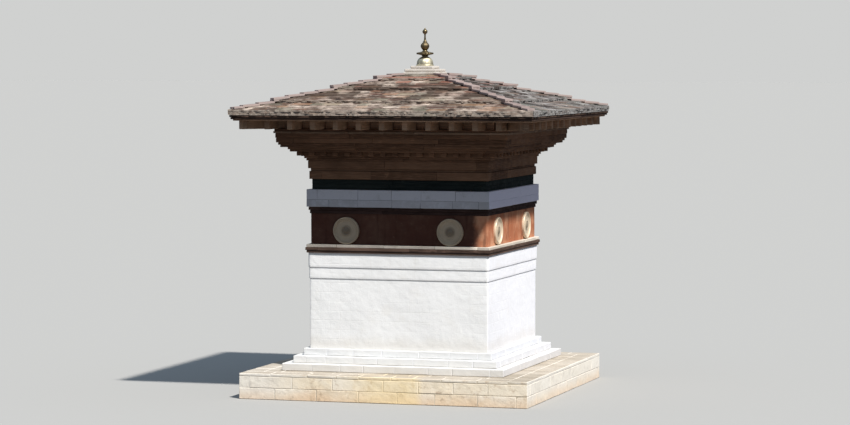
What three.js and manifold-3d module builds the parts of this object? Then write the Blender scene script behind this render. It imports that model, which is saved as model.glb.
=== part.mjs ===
// A square Himalayan stupa (chorten) with a red band, a corbelled cornice and a slate roof.
// Millimetres, +Z up. The origin is the centre of the footprint at ground level, the front faces -Y.
import * as THREE from "three";
import { mergeVertices } from "three/addons/utils/BufferGeometryUtils.js";
import Module from "manifold-3d";

const wasm = await Module();
wasm.setup();

// Driving dimensions: full widths across the faces, and heights above the ground
const PLINTH = { width: 8000, top: 700 };
const STEPS = [
  { name: "base_step_lower", width: 6200, top: 900 },
  { name: "base_step_middle", width: 5720, top: 1090 },
  { name: "base_step_upper", width: 5280, top: 1280 },
];
const WALL = { width: 5040, top: 3830, offset: 20, firstOffset: 3180, secondOffset: 3480 };
const LEDGE = { width: 5260, top: 4015 };
const SILL = { width: 5160, top: 4100 };
const RED_BAND = { width: 4950, top: 4930 };
const NECK_MOULDING = { width: 5060, top: 5110, fillet: 60 };
const GREY_SLAB = { width: 5140, top: 5580 };
const FRIEZE_FOOT = { width: 4900, top: 5860 };
const FRIEZE = { width: 5020, headWidth: 5080, grooveWidth: 4960, groove: 6080, head: 6150, top: 6360 };
const CORNICE = { widths: [5240, 5560, 5940, 6340], course: 125, recess: 45 };
const DENTIL = { course: 1, perSide: 17, width: 150, depth: 90 };
const TOP_TIER = { width: 6540, top: 7230, recess: 40, stripBottom: 7110, stripTop: 7170 };
const JOIST = { reach: 3960, width: 150, top: 7460, pitch: 640, perSide: 9, jacks: 2 };
const JOIST_BEARER = { depth: 190, endInset: 40, standOff: 10 };
const ROOF_CORE_WIDTH = 5780;
const SOFFIT = { width: 8220, top: 7500 };
const EAVE_BOARD = { width: 8370, top: 7610 };

// The slates lie in tiers of a few courses. A tier starts with a thick butt, the other courses have thin ones.
const ROOF = { width: 8420, eaveTop: 7760, slope: 0.264, eaveThickness: 150, neckWidth: 900 };
const TIERS = [3, 4, 3, 2];
const BUTT = { thin: 28, thick: 90 };
const ROOF_BED = { width: 8240, shoulder: 5 };
const HIP = { width: 240, thickness: 55, nose: 35, joint: 12 };
const APEX_SLAB = { width: 980, thickness: 160 };
const APEX_STEP = { width: 640, thickness: 80 };

const DISC = { radius: 370, depth: 70, offset: 1460, height: 4475, segments: 28 };
const FINIAL_SEGMENTS = 28;
const SEAT_GAP = 0.3;

// Materials
const finish = (color, roughness, metalness = 0) =>
  new THREE.MeshStandardMaterial({ color, roughness, metalness });
const WHITEWASH = finish(0xeceae4, 0.9);
const PLINTH_WASH = finish(0xe4d8c0, 0.92);
const RED_OCHRE = finish(0x9a4a32, 0.85);
const DARK_TIMBER = finish(0x33251d, 0.75);
const GREY_STONE = finish(0x77787f, 0.85);
const PALE_STONE = finish(0xc9c0b0, 0.85);
const SLATE = finish(0x8f8578, 0.8);
const GILT = finish(0xb8965a, 0.4, 0.9);

const stupa = new THREE.Group();

// The four sides, each a quarter turn on from the front
const SIDES = ["front", "right", "back", "left"];
const sideGroups = SIDES.map((side, index) => {
  const group = new THREE.Group();
  group.rotation.z = (index * Math.PI) / 2;
  stupa.add(group);
  return group;
});

function addMesh(parent, name, geometry, material) {
  const mesh = new THREE.Mesh(geometry, material);
  mesh.name = name;
  parent.add(mesh);
  return mesh;
}

// A three.js geometry as a manifold solid, and back
function solidOf(geometry) {
  const plain = geometry.clone();
  plain.deleteAttribute("normal");
  plain.deleteAttribute("uv");
  const merged = mergeVertices(plain, 1e-3);
  return new wasm.Manifold(
    new wasm.Mesh({
      numProp: 3,
      vertProperties: merged.attributes.position.array,
      triVerts: new Uint32Array(merged.index.array),
    }),
  );
}

function geometryOf(solid) {
  const mesh = solid.getMesh();
  const geometry = new THREE.BufferGeometry();
  geometry.setAttribute("position", new THREE.BufferAttribute(mesh.vertProperties, 3));
  geometry.setIndex(new THREE.BufferAttribute(mesh.triVerts, 1));
  geometry.computeVertexNormals();
  return geometry;
}

const joined = (solids) => solids.reduce((sum, solid) => sum.add(solid));

// A box between two corners
function boxBetween(low, high) {
  const size = high.map((value, axis) => value - low[axis]);
  const geometry = new THREE.BoxGeometry(...size);
  geometry.translate(...high.map((value, axis) => (value + low[axis]) / 2));
  return geometry;
}

// A square stack: a profile of [width, height] from the bottom up, turned in four quarters about the Z axis
function squareStack(profile) {
  const points = profile.map(([width, height]) => new THREE.Vector2(width / Math.SQRT2, height));
  const geometry = new THREE.LatheGeometry(points, 4, Math.PI / 4, 2 * Math.PI);
  geometry.rotateX(Math.PI / 2);
  return geometry;
}

// A round turned piece: a profile of [radius, height] from the bottom up
function turned(profile, segments) {
  const points = profile.map(([radius, height]) => new THREE.Vector2(radius, height));
  const geometry = new THREE.LatheGeometry(points, segments);
  geometry.rotateX(Math.PI / 2);
  return geometry;
}

function addSlab(name, width, bottom, top, material) {
  const half = width / 2;
  addMesh(stupa, name, boxBetween([-half, -half, bottom], [half, half, top]), material);
}

// Whitewashed masonry: the plinth, three small steps, and the wall, whose head steps out twice
function addBase() {
  addSlab("plinth", PLINTH.width, 0, PLINTH.top, PLINTH_WASH);
  let bottom = PLINTH.top;
  STEPS.forEach(({ name, width, top }) => {
    addSlab(name, width, bottom, top, WHITEWASH);
    bottom = top;
  });
  const { width, top, offset, firstOffset, secondOffset } = WALL;
  const wall = [
    [0, bottom],
    [width, bottom],
    [width, firstOffset],
    [width + offset, firstOffset],
    [width + offset, secondOffset],
    [width + 2 * offset, secondOffset],
    [width + 2 * offset, top],
    [0, top],
  ];
  addMesh(stupa, "white_wall", squareStack(wall), WHITEWASH);
}

// The ledge, the red band between sill and moulding, and the grey slab
function addRedBand() {
  addSlab("ledge_course", LEDGE.width, WALL.top, LEDGE.top, DARK_TIMBER);
  addSlab("band_sill", SILL.width, LEDGE.top, SILL.top, PALE_STONE);
  addSlab("red_band", RED_BAND.width, SILL.top, RED_BAND.top, RED_OCHRE);
  const inner = NECK_MOULDING.width - NECK_MOULDING.fillet;
  const middle = (RED_BAND.top + NECK_MOULDING.top) / 2;
  const moulding = [
    [0, RED_BAND.top],
    [inner, RED_BAND.top],
    [inner, middle],
    [NECK_MOULDING.width, middle],
    [NECK_MOULDING.width, NECK_MOULDING.top],
    [0, NECK_MOULDING.top],
  ];
  addMesh(stupa, "neck_moulding", squareStack(moulding), DARK_TIMBER);
  addSlab("grey_slab", GREY_SLAB.width, NECK_MOULDING.top, GREY_SLAB.top, GREY_STONE);
}

// A disc with a raised rim round a flat field, and a low boss in the middle
function discGeometry() {
  const { radius, depth, segments } = DISC;
  const field = 0.6 * depth;
  const profile = [
    [0, 0],
    [radius, 0],
    [radius, 0.8 * depth],
    [0.94 * radius, depth],
    [0.84 * radius, depth],
    [0.78 * radius, field],
    [0.3 * radius, field],
    [0.22 * radius, 0.95 * depth],
    [0, depth],
  ];
  const geometry = turned(profile, segments);
  geometry.rotateX(Math.PI / 2);
  return geometry;
}

function addDiscs() {
  const face = -RED_BAND.width / 2 - SEAT_GAP;
  SIDES.forEach((side, index) => {
    [-1, 1].forEach((hand) => {
      const name = `disc_${side}_${hand < 0 ? "a" : "b"}`;
      const disc = addMesh(sideGroups[index], name, discGeometry(), GILT);
      disc.position.set(hand * DISC.offset, face, DISC.height);
    });
  });
}

// The dark frieze: a recessed foot, and boards with a groove below their projecting head
function addFrieze() {
  addSlab("frieze_foot", FRIEZE_FOOT.width, GREY_SLAB.top, FRIEZE_FOOT.top, DARK_TIMBER);
  const frieze = [
    [0, FRIEZE_FOOT.top],
    [FRIEZE.width, FRIEZE_FOOT.top],
    [FRIEZE.width, FRIEZE.groove],
    [FRIEZE.grooveWidth, FRIEZE.groove],
    [FRIEZE.grooveWidth, FRIEZE.head],
    [FRIEZE.headWidth, FRIEZE.head],
    [FRIEZE.headWidth, FRIEZE.top],
    [0, FRIEZE.top],
  ];
  addMesh(stupa, "frieze", squareStack(frieze), DARK_TIMBER);
}

// One corbelled course: a recessed lower half under a projecting board
function courseGeometry(width, bottom, top) {
  const inner = width - 2 * CORNICE.recess;
  const middle = (bottom + top) / 2;
  return squareStack([
    [0, bottom],
    [inner, bottom],
    [inner, middle],
    [width, middle],
    [width, top],
    [0, top],
  ]);
}

// A course of short blocks standing out from a core, evenly spaced along each side
function dentilGeometry(width, bottom, top) {
  const half = width / 2;
  const core = half - DENTIL.depth;
  const pitch = (width - DENTIL.width) / (DENTIL.perSide - 1);
  const solids = [solidOf(boxBetween([-core, -core, bottom], [core, core, top]))];
  for (let i = 0; i < DENTIL.perSide; i++) {
    const low = -half + i * pitch;
    const high = low + DENTIL.width;
    solids.push(solidOf(boxBetween([low, -half, bottom], [high, half, top])));
    solids.push(solidOf(boxBetween([-half, low, bottom], [half, high, top])));
  }
  return geometryOf(joined(solids));
}

function addCornice() {
  let bottom = FRIEZE.top;
  CORNICE.widths.forEach((width, index) => {
    const top = bottom + CORNICE.course;
    const isDentil = index === DENTIL.course;
    const name = isDentil ? "cornice_dentils" : `cornice_course_${index + 1}`;
    const shape = isDentil ? dentilGeometry : courseGeometry;
    addMesh(stupa, name, shape(width, bottom, top), DARK_TIMBER);
    bottom = top;
  });
  const { width, top, recess, stripBottom, stripTop } = TOP_TIER;
  const tier = [
    [0, bottom],
    [width - 2 * recess, bottom],
    [width - 2 * recess, stripBottom],
    [width, stripBottom],
    [width, stripTop],
    [width - recess, stripTop],
    [width - recess, top],
    [0, top],
  ];
  addMesh(stupa, "cornice_top_tier", squareStack(tier), DARK_TIMBER);
}

// The joists of one side, carried on a bearer along the wall head
function sideJoists() {
  const inner = ROOF_CORE_WIDTH / 2 + JOIST_BEARER.standOff;
  const outer = inner + JOIST_BEARER.depth;
  const end = ROOF_CORE_WIDTH / 2 - JOIST_BEARER.endInset;
  const bottom = TOP_TIER.top;
  const solids = [solidOf(boxBetween([-end, -outer, bottom], [end, -inner, JOIST.top]))];
  for (let i = 0; i < JOIST.perSide; i++) {
    const middle = (i - (JOIST.perSide - 1) / 2) * JOIST.pitch;
    const low = [middle - JOIST.width / 2, -JOIST.reach, bottom];
    const high = [middle + JOIST.width / 2, -inner, JOIST.top];
    solids.push(solidOf(boxBetween(low, high)));
  }
  return geometryOf(joined(solids));
}

// The diagonal joist at the front right corner, with the short jack joists that meet it
function cornerJoists() {
  const start = ROOF_CORE_WIDTH / 2 + JOIST.width / 2;
  const bottom = TOP_TIER.top;
  const length = (JOIST.reach - start) * Math.SQRT2 + JOIST.width;
  const diagonal = boxBetween([0, -JOIST.width / 2, bottom], [length, JOIST.width / 2, JOIST.top]);
  diagonal.rotateZ(-Math.PI / 4);
  diagonal.translate(start, -start, 0);
  const square = boxBetween([0, -JOIST.reach, bottom], [JOIST.reach, 0, JOIST.top]);
  const solids = [solidOf(diagonal).intersect(solidOf(square))];
  for (let i = 1; i <= JOIST.jacks; i++) {
    const middle = ((JOIST.perSide - 1) / 2 + i) * JOIST.pitch;
    const low = middle - JOIST.width / 2;
    const high = middle + JOIST.width / 2;
    solids.push(solidOf(boxBetween([low, -JOIST.reach, bottom], [high, -middle, JOIST.top])));
    solids.push(solidOf(boxBetween([middle, -high, bottom], [JOIST.reach, -low, JOIST.top])));
  }
  return geometryOf(joined(solids));
}

function addEaves() {
  addSlab("roof_core", ROOF_CORE_WIDTH, TOP_TIER.top, JOIST.top, DARK_TIMBER);
  SIDES.forEach((side, index) => {
    const next = SIDES[(index + 1) % SIDES.length];
    addMesh(sideGroups[index], `joists_${side}`, sideJoists(), DARK_TIMBER);
    addMesh(sideGroups[index], `corner_joists_${side}_${next}`, cornerJoists(), DARK_TIMBER);
  });
  addSlab("soffit_boards", SOFFIT.width, JOIST.top, SOFFIT.top, DARK_TIMBER);
  addSlab("eave_boards", EAVE_BOARD.width, SOFFIT.top, EAVE_BOARD.top, DARK_TIMBER);
}

// The plane of the roof, touched by the outer edge of each tier, at a full width
const roofPlane = (width) => ROOF.eaveTop + ((ROOF.width - width) / 2) * ROOF.slope;
const bedHeight = (width) => roofPlane(width) - ROOF.eaveThickness;
const SLATE_TOP = roofPlane(ROOF.neckWidth) - BUTT.thick;

// The stepped line of the slates, from the eave to the neck, as [width, height].
// Each course gives its upper outer edge and the foot of the next course's butt.
function slateLine() {
  const courses = TIERS.reduce((sum, count) => sum + count, 0);
  const narrowing = (ROOF.width - ROOF.neckWidth) / courses;
  const line = [];
  let width = ROOF.width;
  TIERS.forEach((count) => {
    const nextWidth = width - count * narrowing;
    const climb = roofPlane(nextWidth) - BUTT.thick - roofPlane(width);
    const rise = (climb - (count - 1) * BUTT.thin) / count;
    let height = roofPlane(width);
    for (let i = 0; i < count; i++) {
      line.push([width, height]);
      width -= narrowing;
      height += rise;
      line.push([width, height]);
      height += BUTT.thin;
    }
  });
  return line;
}

function addRoofBed() {
  const neck = ROOF.neckWidth - 2 * ROOF_BED.shoulder;
  const bed = [
    [0, EAVE_BOARD.top],
    [ROOF_BED.width, EAVE_BOARD.top],
    [ROOF_BED.width, bedHeight(ROOF_BED.width)],
    [ROOF.neckWidth, bedHeight(ROOF.neckWidth)],
    [neck, bedHeight(ROOF.neckWidth)],
    [neck, SLATE_TOP],
    [0, SLATE_TOP],
  ];
  addMesh(stupa, "roof_bed", squareStack(bed), SLATE);
}

// All four slopes as one ring: the stepped line above, and the plane of the bed below
function slateRing() {
  const foot = [ROOF.width, bedHeight(ROOF.width) + SEAT_GAP];
  const head = [ROOF.neckWidth, bedHeight(ROOF.neckWidth) + SEAT_GAP];
  return solidOf(squareStack([foot, ...slateLine(), head, foot]));
}

// The part of the ring in front of both diagonals, with half a joint kept free at each hip
function slopeWedge() {
  const reach = ROOF.width;
  const shape = new THREE.Shape([
    new THREE.Vector2(0, -HIP.joint),
    new THREE.Vector2(-reach + HIP.joint, -reach),
    new THREE.Vector2(reach - HIP.joint, -reach),
  ]);
  const geometry = new THREE.ExtrudeGeometry(shape, { depth: 2 * reach, bevelEnabled: false });
  return solidOf(geometry);
}

// The capping of the front right hip: a strip that follows the stepped line down the diagonal
function hipCapping() {
  const under = slateLine().map(([width, height]) => [
    width * Math.SQRT1_2 + SEAT_GAP,
    height + SEAT_GAP,
  ]);
  const over = under.map(([along, height]) => [along + HIP.nose, height + HIP.thickness]);
  const outline = [...under, ...over.reverse()];
  const shape = new THREE.Shape(outline.map(([along, height]) => new THREE.Vector2(along, height)));
  const strip = new THREE.ExtrudeGeometry(shape, { depth: HIP.width, bevelEnabled: false });
  strip.rotateX(Math.PI / 2);
  strip.translate(0, HIP.width / 2, 0);
  const foot = ROOF.width * Math.SQRT1_2 - HIP.width / 2;
  const head = APEX_SLAB.width * Math.SQRT1_2 + SEAT_GAP;
  const length = boxBetween([head, -HIP.width, 0], [foot, HIP.width, 2 * ROOF.eaveTop]);
  const geometry = geometryOf(solidOf(strip).intersect(solidOf(length)));
  geometry.rotateZ(-Math.PI / 4);
  return geometry;
}

function addSlates() {
  const slope = geometryOf(slateRing().intersect(slopeWedge()));
  SIDES.forEach((side, index) => {
    const next = SIDES[(index + 1) % SIDES.length];
    addMesh(sideGroups[index], `slates_${side}`, slope, SLATE);
    addMesh(sideGroups[index], `hip_capping_${side}_${next}`, hipCapping(), PALE_STONE);
  });
}

// The pale slab on the roof's point and the step that carries the finial
function addApex() {
  const slabTop = SLATE_TOP + APEX_SLAB.thickness;
  const stepTop = slabTop + APEX_STEP.thickness;
  addSlab("apex_slab", APEX_SLAB.width, SLATE_TOP + SEAT_GAP, slabTop, PALE_STONE);
  addSlab("apex_step", APEX_STEP.width, slabTop, stepTop, PALE_STONE);
  return stepTop;
}

// The finial, from the bottom: a bell, a ringed disc, a knob and a spike with a ball
function addFinial(bottom) {
  const bell = [
    [0, 0],
    [245, 0],
    [248, 35],
    [226, 75],
    [215, 140],
    [180, 200],
    [115, 245],
    [70, 270],
    [0, 270],
  ];
  const disc = [
    [0, 270],
    [85, 270],
    [115, 298],
    [225, 322],
    [240, 345],
    [225, 368],
    [105, 392],
    [65, 430],
    [0, 430],
  ];
  const knob = [
    [0, 430],
    [56, 430],
    [100, 480],
    [122, 545],
    [100, 610],
    [56, 655],
    [44, 690],
    [0, 690],
  ];
  const spike = [
    [0, 690],
    [42, 690],
    [28, 740],
    [22, 850],
    [24, 872],
    [58, 905],
    [70, 945],
    [58, 985],
    [24, 1010],
    [12, 1050],
    [0, 1056],
  ];
  const pieces = { finial_bell: bell, finial_disc: disc, finial_knob: knob, finial_spike: spike };
  Object.entries(pieces).forEach(([name, profile]) => {
    const mesh = addMesh(stupa, name, turned(profile, FINIAL_SEGMENTS), GILT);
    mesh.position.z = bottom;
  });
}

addBase();
addRedBand();
addDiscs();
addFrieze();
addCornice();
addEaves();
addRoofBed();
addSlates();
addFinial(addApex());

export default stupa;
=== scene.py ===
"""The looks of a square Himalayan stupa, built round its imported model: cut stone, limewash,
painted timber, split slate and weathered gilding. Metres, +Z up, the front faces -Y."""

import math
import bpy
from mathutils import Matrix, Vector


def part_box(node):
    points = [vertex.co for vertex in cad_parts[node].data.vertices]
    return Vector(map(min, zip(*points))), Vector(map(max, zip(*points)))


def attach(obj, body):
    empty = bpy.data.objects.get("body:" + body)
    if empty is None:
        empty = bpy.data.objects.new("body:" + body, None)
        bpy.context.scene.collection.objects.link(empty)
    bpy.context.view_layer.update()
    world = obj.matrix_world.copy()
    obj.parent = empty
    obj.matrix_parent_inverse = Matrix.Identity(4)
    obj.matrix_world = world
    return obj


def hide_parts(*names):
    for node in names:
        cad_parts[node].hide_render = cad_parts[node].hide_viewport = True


bl_info = {
    "name": "Stupa looks",
    "version": (1, 0, 0),
    "blender": (4, 5, 0),
    "location": "3D View > Sidebar > Stupa",
    "description": "Builds the stone, limewash, timber, slate and gilding of a square stupa",
    "category": "Object",
}

import zlib
from types import SimpleNamespace

import bpy
import numpy as np
from bpy.props import FloatProperty, FloatVectorProperty, IntProperty, PointerProperty
from bpy.types import Operator, Panel, PropertyGroup
from mathutils import Vector

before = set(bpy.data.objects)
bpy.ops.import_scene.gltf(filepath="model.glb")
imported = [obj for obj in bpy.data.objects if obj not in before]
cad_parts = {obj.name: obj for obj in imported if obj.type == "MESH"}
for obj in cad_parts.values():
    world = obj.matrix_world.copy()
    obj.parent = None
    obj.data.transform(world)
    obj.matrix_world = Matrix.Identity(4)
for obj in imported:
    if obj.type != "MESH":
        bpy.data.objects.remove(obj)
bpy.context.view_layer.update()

SIDES = ["front", "right", "back", "left"]

# The stepped line of the roof, as in the part's source
EAVE_HALF = 4.21
EAVE_TOP = 7.76
ROOF_SLOPE = 0.264
NECK_HALF = 0.45
TIERS = [3, 4, 3, 2]
NARROWING = (EAVE_HALF - NECK_HALF) / sum(TIERS)
BUTT_THIN = 0.028
BUTT_THICK = 0.09
EAVE_THICK = 0.15
HIP_FOOT = 5.834
HIP_NOSE = 0.035
HIP_END = 0.70

# The slabs on the hips: their thickness, and how far their tops lie above the slates
HIP_SLAB = 0.053
HIP_LIFT = 0.055

# How far a slate runs under the next row, and how far from the axis the top ones end
SLATE_LAP = 0.11
TOP_SLATES_END = 0.36

# How far a corner of a board or stone may be out of true
BOARD_WOBBLE = 0.0015
STONE_WOBBLE = 0.004

# Flags of the plinth: their thickness, and the depth of the outer ring
FLAG_THICK = 0.085
FLAG_DEPTH = 0.52

# The head of the wall stands out by one step more at each of two heights
WALL_STEP = 0.02
WALL_STEPS = (3.17, 3.47)

# The limewash runs up behind the foot of the ledge by this much
LEDGE_BED = 0.035

# Heights of the lower boards of the ledge and of the lower stones of the grey course
LEDGE_LOWER = 0.105
GREY_LOWER = 0.2

# Foot and head of the frieze's groove and of the pale strip on the top tier, and the tier's joint
FRIEZE_GROOVE = (6.08, 6.15)
TIER_STRIP = (7.11, 7.17)
TIER_JOINT = 6.985

JOIST_WIDTH = 0.15
JOIST_PITCH = 0.64
JOISTS_A_SIDE = 9
BEARER_HALF = 2.85
BEARER_WIDTH = 0.19
RAFTER_START = 2.965 * math.sqrt(2)
RAFTER_END = 5.6

DENTIL_WIDTH = 0.15
DENTIL_REACH = 0.09
DENTILS_A_SIDE = 16

DISC_RADIUS = 0.37
DISC_PLACE = (1.46, -2.476, 4.475)


# Sizes and colours that a user would change


def length(name, description, default):
    """A length in metres."""
    return FloatProperty(
        name=name, description=description, default=default, min=0, unit="LENGTH", precision=4
    )


def colour(name, description, default):
    """A linear colour."""
    return FloatVectorProperty(
        name=name, description=description, default=default, size=3, min=0, max=1, subtype="COLOR"
    )


class StupaSizes(PropertyGroup):
    """Sizes of the stones, boards and slates."""

    stone_joint: length("Stone joint", "Width of a joint between stones", 0.009)
    stone_chamfer: length("Stone chamfer", "Wear on a stone's edges", 0.013)
    board_joint: length("Board joint", "Gap between boards", 0.004)
    board_chamfer: length("Board chamfer", "Wear on a board's edges", 0.008)
    board_length: length("Board length", "Usual length of a board", 2.1)
    plaster_wave: length("Plaster wave", "How far the limewashed wall is out of true", 0.006)
    plaster_grid: length("Plaster grid", "Spacing of the points of a plastered wall", 0.06)
    slate_width: length("Slate width", "Usual width of a slate", 0.42)
    slate_ragged: length("Ragged edge", "How far a slate's lower edge is out of line", 0.016)
    slate_chamfer: length("Slate chamfer", "Wear on a slate's edges", 0.006)
    turned_segments: IntProperty(
        name="Turned segments", description="Flats round a turned piece", default=72, min=12
    )


class StupaColours(PropertyGroup):
    """Colours of the finishes."""

    whitewash: colour("Limewash", "Limewash on the walls", (0.875, 0.88, 0.885))
    wash_grime: colour("Grime", "Dirt washed down the limewash", (0.60, 0.55, 0.47))
    plinth_light: colour("Plinth, light", "Dirty limewash on the plinth", (0.94, 0.86, 0.73))
    plinth_dark: colour("Plinth, dark", "Worn stones of the plinth", (0.92, 0.79, 0.60))
    plinth_stain: colour("Plinth stain", "Earth stains at the foot", (0.84, 0.62, 0.42))
    # Painted shade and light: ochre and worn ochre are the wash as it looks in shade; sunny and
    # pale ochre are their lit copies, painted sunlight for the +X end
    ochre: colour("Red ochre", "Wash of the red band in shade", (0.085, 0.034, 0.024))
    ochre_worn: colour("Worn ochre", "Worn patches in shade", (0.135, 0.075, 0.052))
    ochre_painted_sunlit: colour("Sunny ochre", "Ochre bleached by the sun", (0.42, 0.150, 0.075))
    ochre_worn_painted_sunlit: colour("Pale ochre", "Bleached ochre, worn patches", (0.70, 0.40, 0.25))
    timber_light: colour("Timber, light", "Brown painted boards", (0.215, 0.122, 0.075))
    timber_dark: colour("Timber, dark", "Darkest boards", (0.10, 0.054, 0.034))
    edge_light: colour("Edge boards, light", "Boards of the eaves' edge", (0.105, 0.068, 0.053))
    edge_dark: colour("Edge boards, dark", "Darkest of these boards", (0.040, 0.025, 0.019))
    grey_light: colour("Grey stone, light", "Grey course", (0.60, 0.615, 0.685))
    grey_dark: colour("Grey stone, dark", "Grey course, darker stones", (0.46, 0.47, 0.51))
    pale_light: colour("Pale stone, light", "Slabs of the apex", (0.55, 0.51, 0.465))
    pale_dark: colour("Pale stone, dark", "Weathered pale stone", (0.40, 0.36, 0.32))
    hip_light: colour("Hip stone, light", "Slabs over the hips", (0.31, 0.245, 0.23))
    hip_dark: colour("Hip stone, dark", "Weathered slabs over the hips", (0.20, 0.155, 0.147))
    slate_pale: colour("Slate, pale", "The few palest slates", (0.435, 0.357, 0.30))
    slate_light: colour("Slate, light", "Dusty slates", (0.218, 0.170, 0.143))
    slate_brown: colour("Slate, brown", "Brown slates", (0.120, 0.074, 0.053))
    slate_dark: colour("Slate, dark", "Darkest slates", (0.044, 0.028, 0.022))
    # Partly the paler broken stone, partly painted sunlight on the slates' butts
    slate_edge_and_painted_sun: colour("Slate edge", "Broken edges of the slates", (0.42, 0.362, 0.31))
    slate_red: colour("Red slate", "Red-brown slates near the apex", (0.24, 0.095, 0.065))
    slate_sandy: colour("Sandy slate", "The few sandy slates", (0.31, 0.185, 0.11))
    slate_mossy: colour("Mossy slate", "The few greenish slates", (0.175, 0.17, 0.125))
    # Painted reflection: a bluish-grey sky sheen laid on the right slope
    slate_painted_sky_sheen: colour("Grey slate", "Tint of the greyer right slope", (0.72, 0.83, 0.95))
    disc_light: colour("Disc, light", "Pale gilding of the discs", (0.50, 0.405, 0.29))
    # Painted sunlight: the gilding of the discs on the +X side, a lit copy of the disc colours
    disc_painted_sunlit: colour("Disc, sunny", "Bleached gilding on the sunny side", (0.79, 0.645, 0.48))
    disc_dull: colour("Disc, dull", "Tarnished gilding of the discs", (0.27, 0.205, 0.14))
    gilt: colour("Gilding", "Weathered gilding of the finial", (0.22, 0.17, 0.09))
    gilt_dull: colour("Dull gilding", "Tarnished gilding of the finial", (0.07, 0.05, 0.035))


class StupaStage(PropertyGroup):
    """Floor, light and camera."""

    floor_side: length("Floor side", "Side of the square floor", 1600.0)
    floor_colour: colour("Floor", "Pale floor", (0.35, 0.346, 0.338))
    light_above: colour("Light from above", "Soft light from overhead", (0.42, 0.54, 0.68))
    light_level: colour("Light from the sides", "Soft light at eye level", (0.140, 0.160, 0.190))
    light_below: colour("Light from below", "Soft light off the ground", (0.29, 0.245, 0.195))
    key_strength: FloatProperty(
        name="Key light", description="Strength of the key light", default=5.85, min=0
    )
    key_from: FloatVectorProperty(
        name="Key from", description="Direction that the key light comes from",
        default=(0.4786, -0.366, 0.798), size=3, subtype="DIRECTION",
    )
    key_colour: colour("Key colour", "Colour of the key light", (1.0, 0.965, 0.91))
    key_softness: FloatProperty(
        name="Key softness", description="Angle that the key light fills",
        default=math.radians(2.5), subtype="ANGLE",
    )
    camera_place: FloatVectorProperty(
        name="Camera", description="Where the camera stands",
        default=(24.22, -79.77, 9.32), size=3, subtype="TRANSLATION", unit="LENGTH",
    )
    camera_target: FloatVectorProperty(
        name="Target", description="What the camera looks at",
        default=(0.0, 0.0, 4.86), size=3, subtype="TRANSLATION", unit="LENGTH",
    )
    camera_lens: FloatProperty(
        name="Lens", description="Focal length in millimetres", default=128.0
    )


# Meshes


def seeded(name):
    """The random numbers of one piece, the same in each run."""
    return np.random.default_rng(zlib.crc32(name.encode()))


def corners(x, y, z):
    """Points (n, 3) from their coordinates. A single number stands for all n."""
    return np.stack(np.broadcast_arrays(x, y, z), axis=-1)


def turn(points, quarters):
    """Points turned about Z by quarter turns: x' = x cos a - y sin a, y' = x sin a + y cos a."""
    angle = quarters * math.pi / 2
    c, s = math.cos(angle), math.sin(angle)
    return points @ np.array([[c, s, 0], [-s, c, 0], [0, 0, 1]])


def repeated(faces, count, step):
    """The faces of one form, for count forms whose points follow each other step by step."""
    shift = step * np.arange(count)[:, None]
    return [face for one in faces for face in (np.array(one)[None] + shift).tolist()]


def closed_tube(rings, around):
    """Faces of a tube of rings of points, closed by its last two points, the foot's and the head's.

    Face (i, j) joins points j and j + 1 of rings i and i + 1. Gives these i and j as well."""
    i, j = np.meshgrid(np.arange(rings - 1), np.arange(around), indexing="ij")
    here, following = i * around + j, i * around + (j + 1) % around
    sides = np.stack([here, following, following + around, here + around], axis=-1).reshape(-1, 4)
    ring = np.arange(around)
    ahead, foot, last = np.roll(ring, -1), rings * around, (rings - 1) * around
    below = corners(foot, ahead, ring)
    above = corners(foot + 1, last + ring, last + ahead)
    return sides.tolist() + below.tolist() + above.tolist(), i, j


def add_piece(name, points, faces, material, node, tone=None, smooth_angle=None):
    """A mesh object from arrays, which rides on the body and stands for a CAD node."""
    mesh = bpy.data.meshes.new(name)
    mesh.from_pydata(points.reshape(-1, 3).tolist(), [], faces)
    if tone is not None:
        attribute = mesh.attributes.new("tone", "FLOAT", "POINT")
        attribute.data.foreach_set("value", tone.astype(np.float32).ravel())
    if smooth_angle is not None:
        mesh.polygons.foreach_set("use_smooth", np.ones(len(mesh.polygons), bool))
        mesh.set_sharp_from_angle(angle=math.radians(smooth_angle))
    mesh.materials.append(material)
    mesh.update()
    piece = bpy.data.objects.new(name, mesh)
    bpy.context.scene.collection.objects.link(piece)
    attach(piece, "root")
    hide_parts(node)
    return piece


def block_form():
    """Signs of a block's 8 corners and the faces of its 24 points, three for each corner.

    Point 3c + a lies at corner c on the face across axis a. The faces are 6 sides, 12 chamfers
    along the edges and 8 triangles at the corners, each ordered so that it looks outward."""
    signs = np.array([[x, y, z] for x in (-1, 1) for y in (-1, 1) for z in (-1, 1)])
    points = (signs[:, None] * (0.8 + 0.2 * np.eye(3))).reshape(-1, 3)
    faces = [[3 * c, 3 * c + 1, 3 * c + 2] for c in range(8)]
    for a in range(3):
        b, k = (a + 1) % 3, (a + 2) % 3

        def corner(*wanted):
            return 3 * int(np.argmax((signs[:, [a, b, k]] == wanted).all(1)))

        for side in (-1, 1):
            around = ((-1, -1), (1, -1), (1, 1), (-1, 1))
            faces.append([corner(side, *other) + a for other in around])
            for second in (-1, 1):
                one, two = corner(side, second, -1), corner(side, second, 1)
                faces.append([one + a, two + a, two + b, one + b])
    outward = []
    for face in faces:
        one, two, three = points[face[:3]]
        looks_out = np.dot(np.cross(two - one, three - two), points[face].mean(0)) > 0
        outward.append(face if looks_out else face[::-1])
    return signs, outward


BLOCK_SIGNS, BLOCK_FACES = block_form()
BLOCK_POINTS = 24


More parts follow.
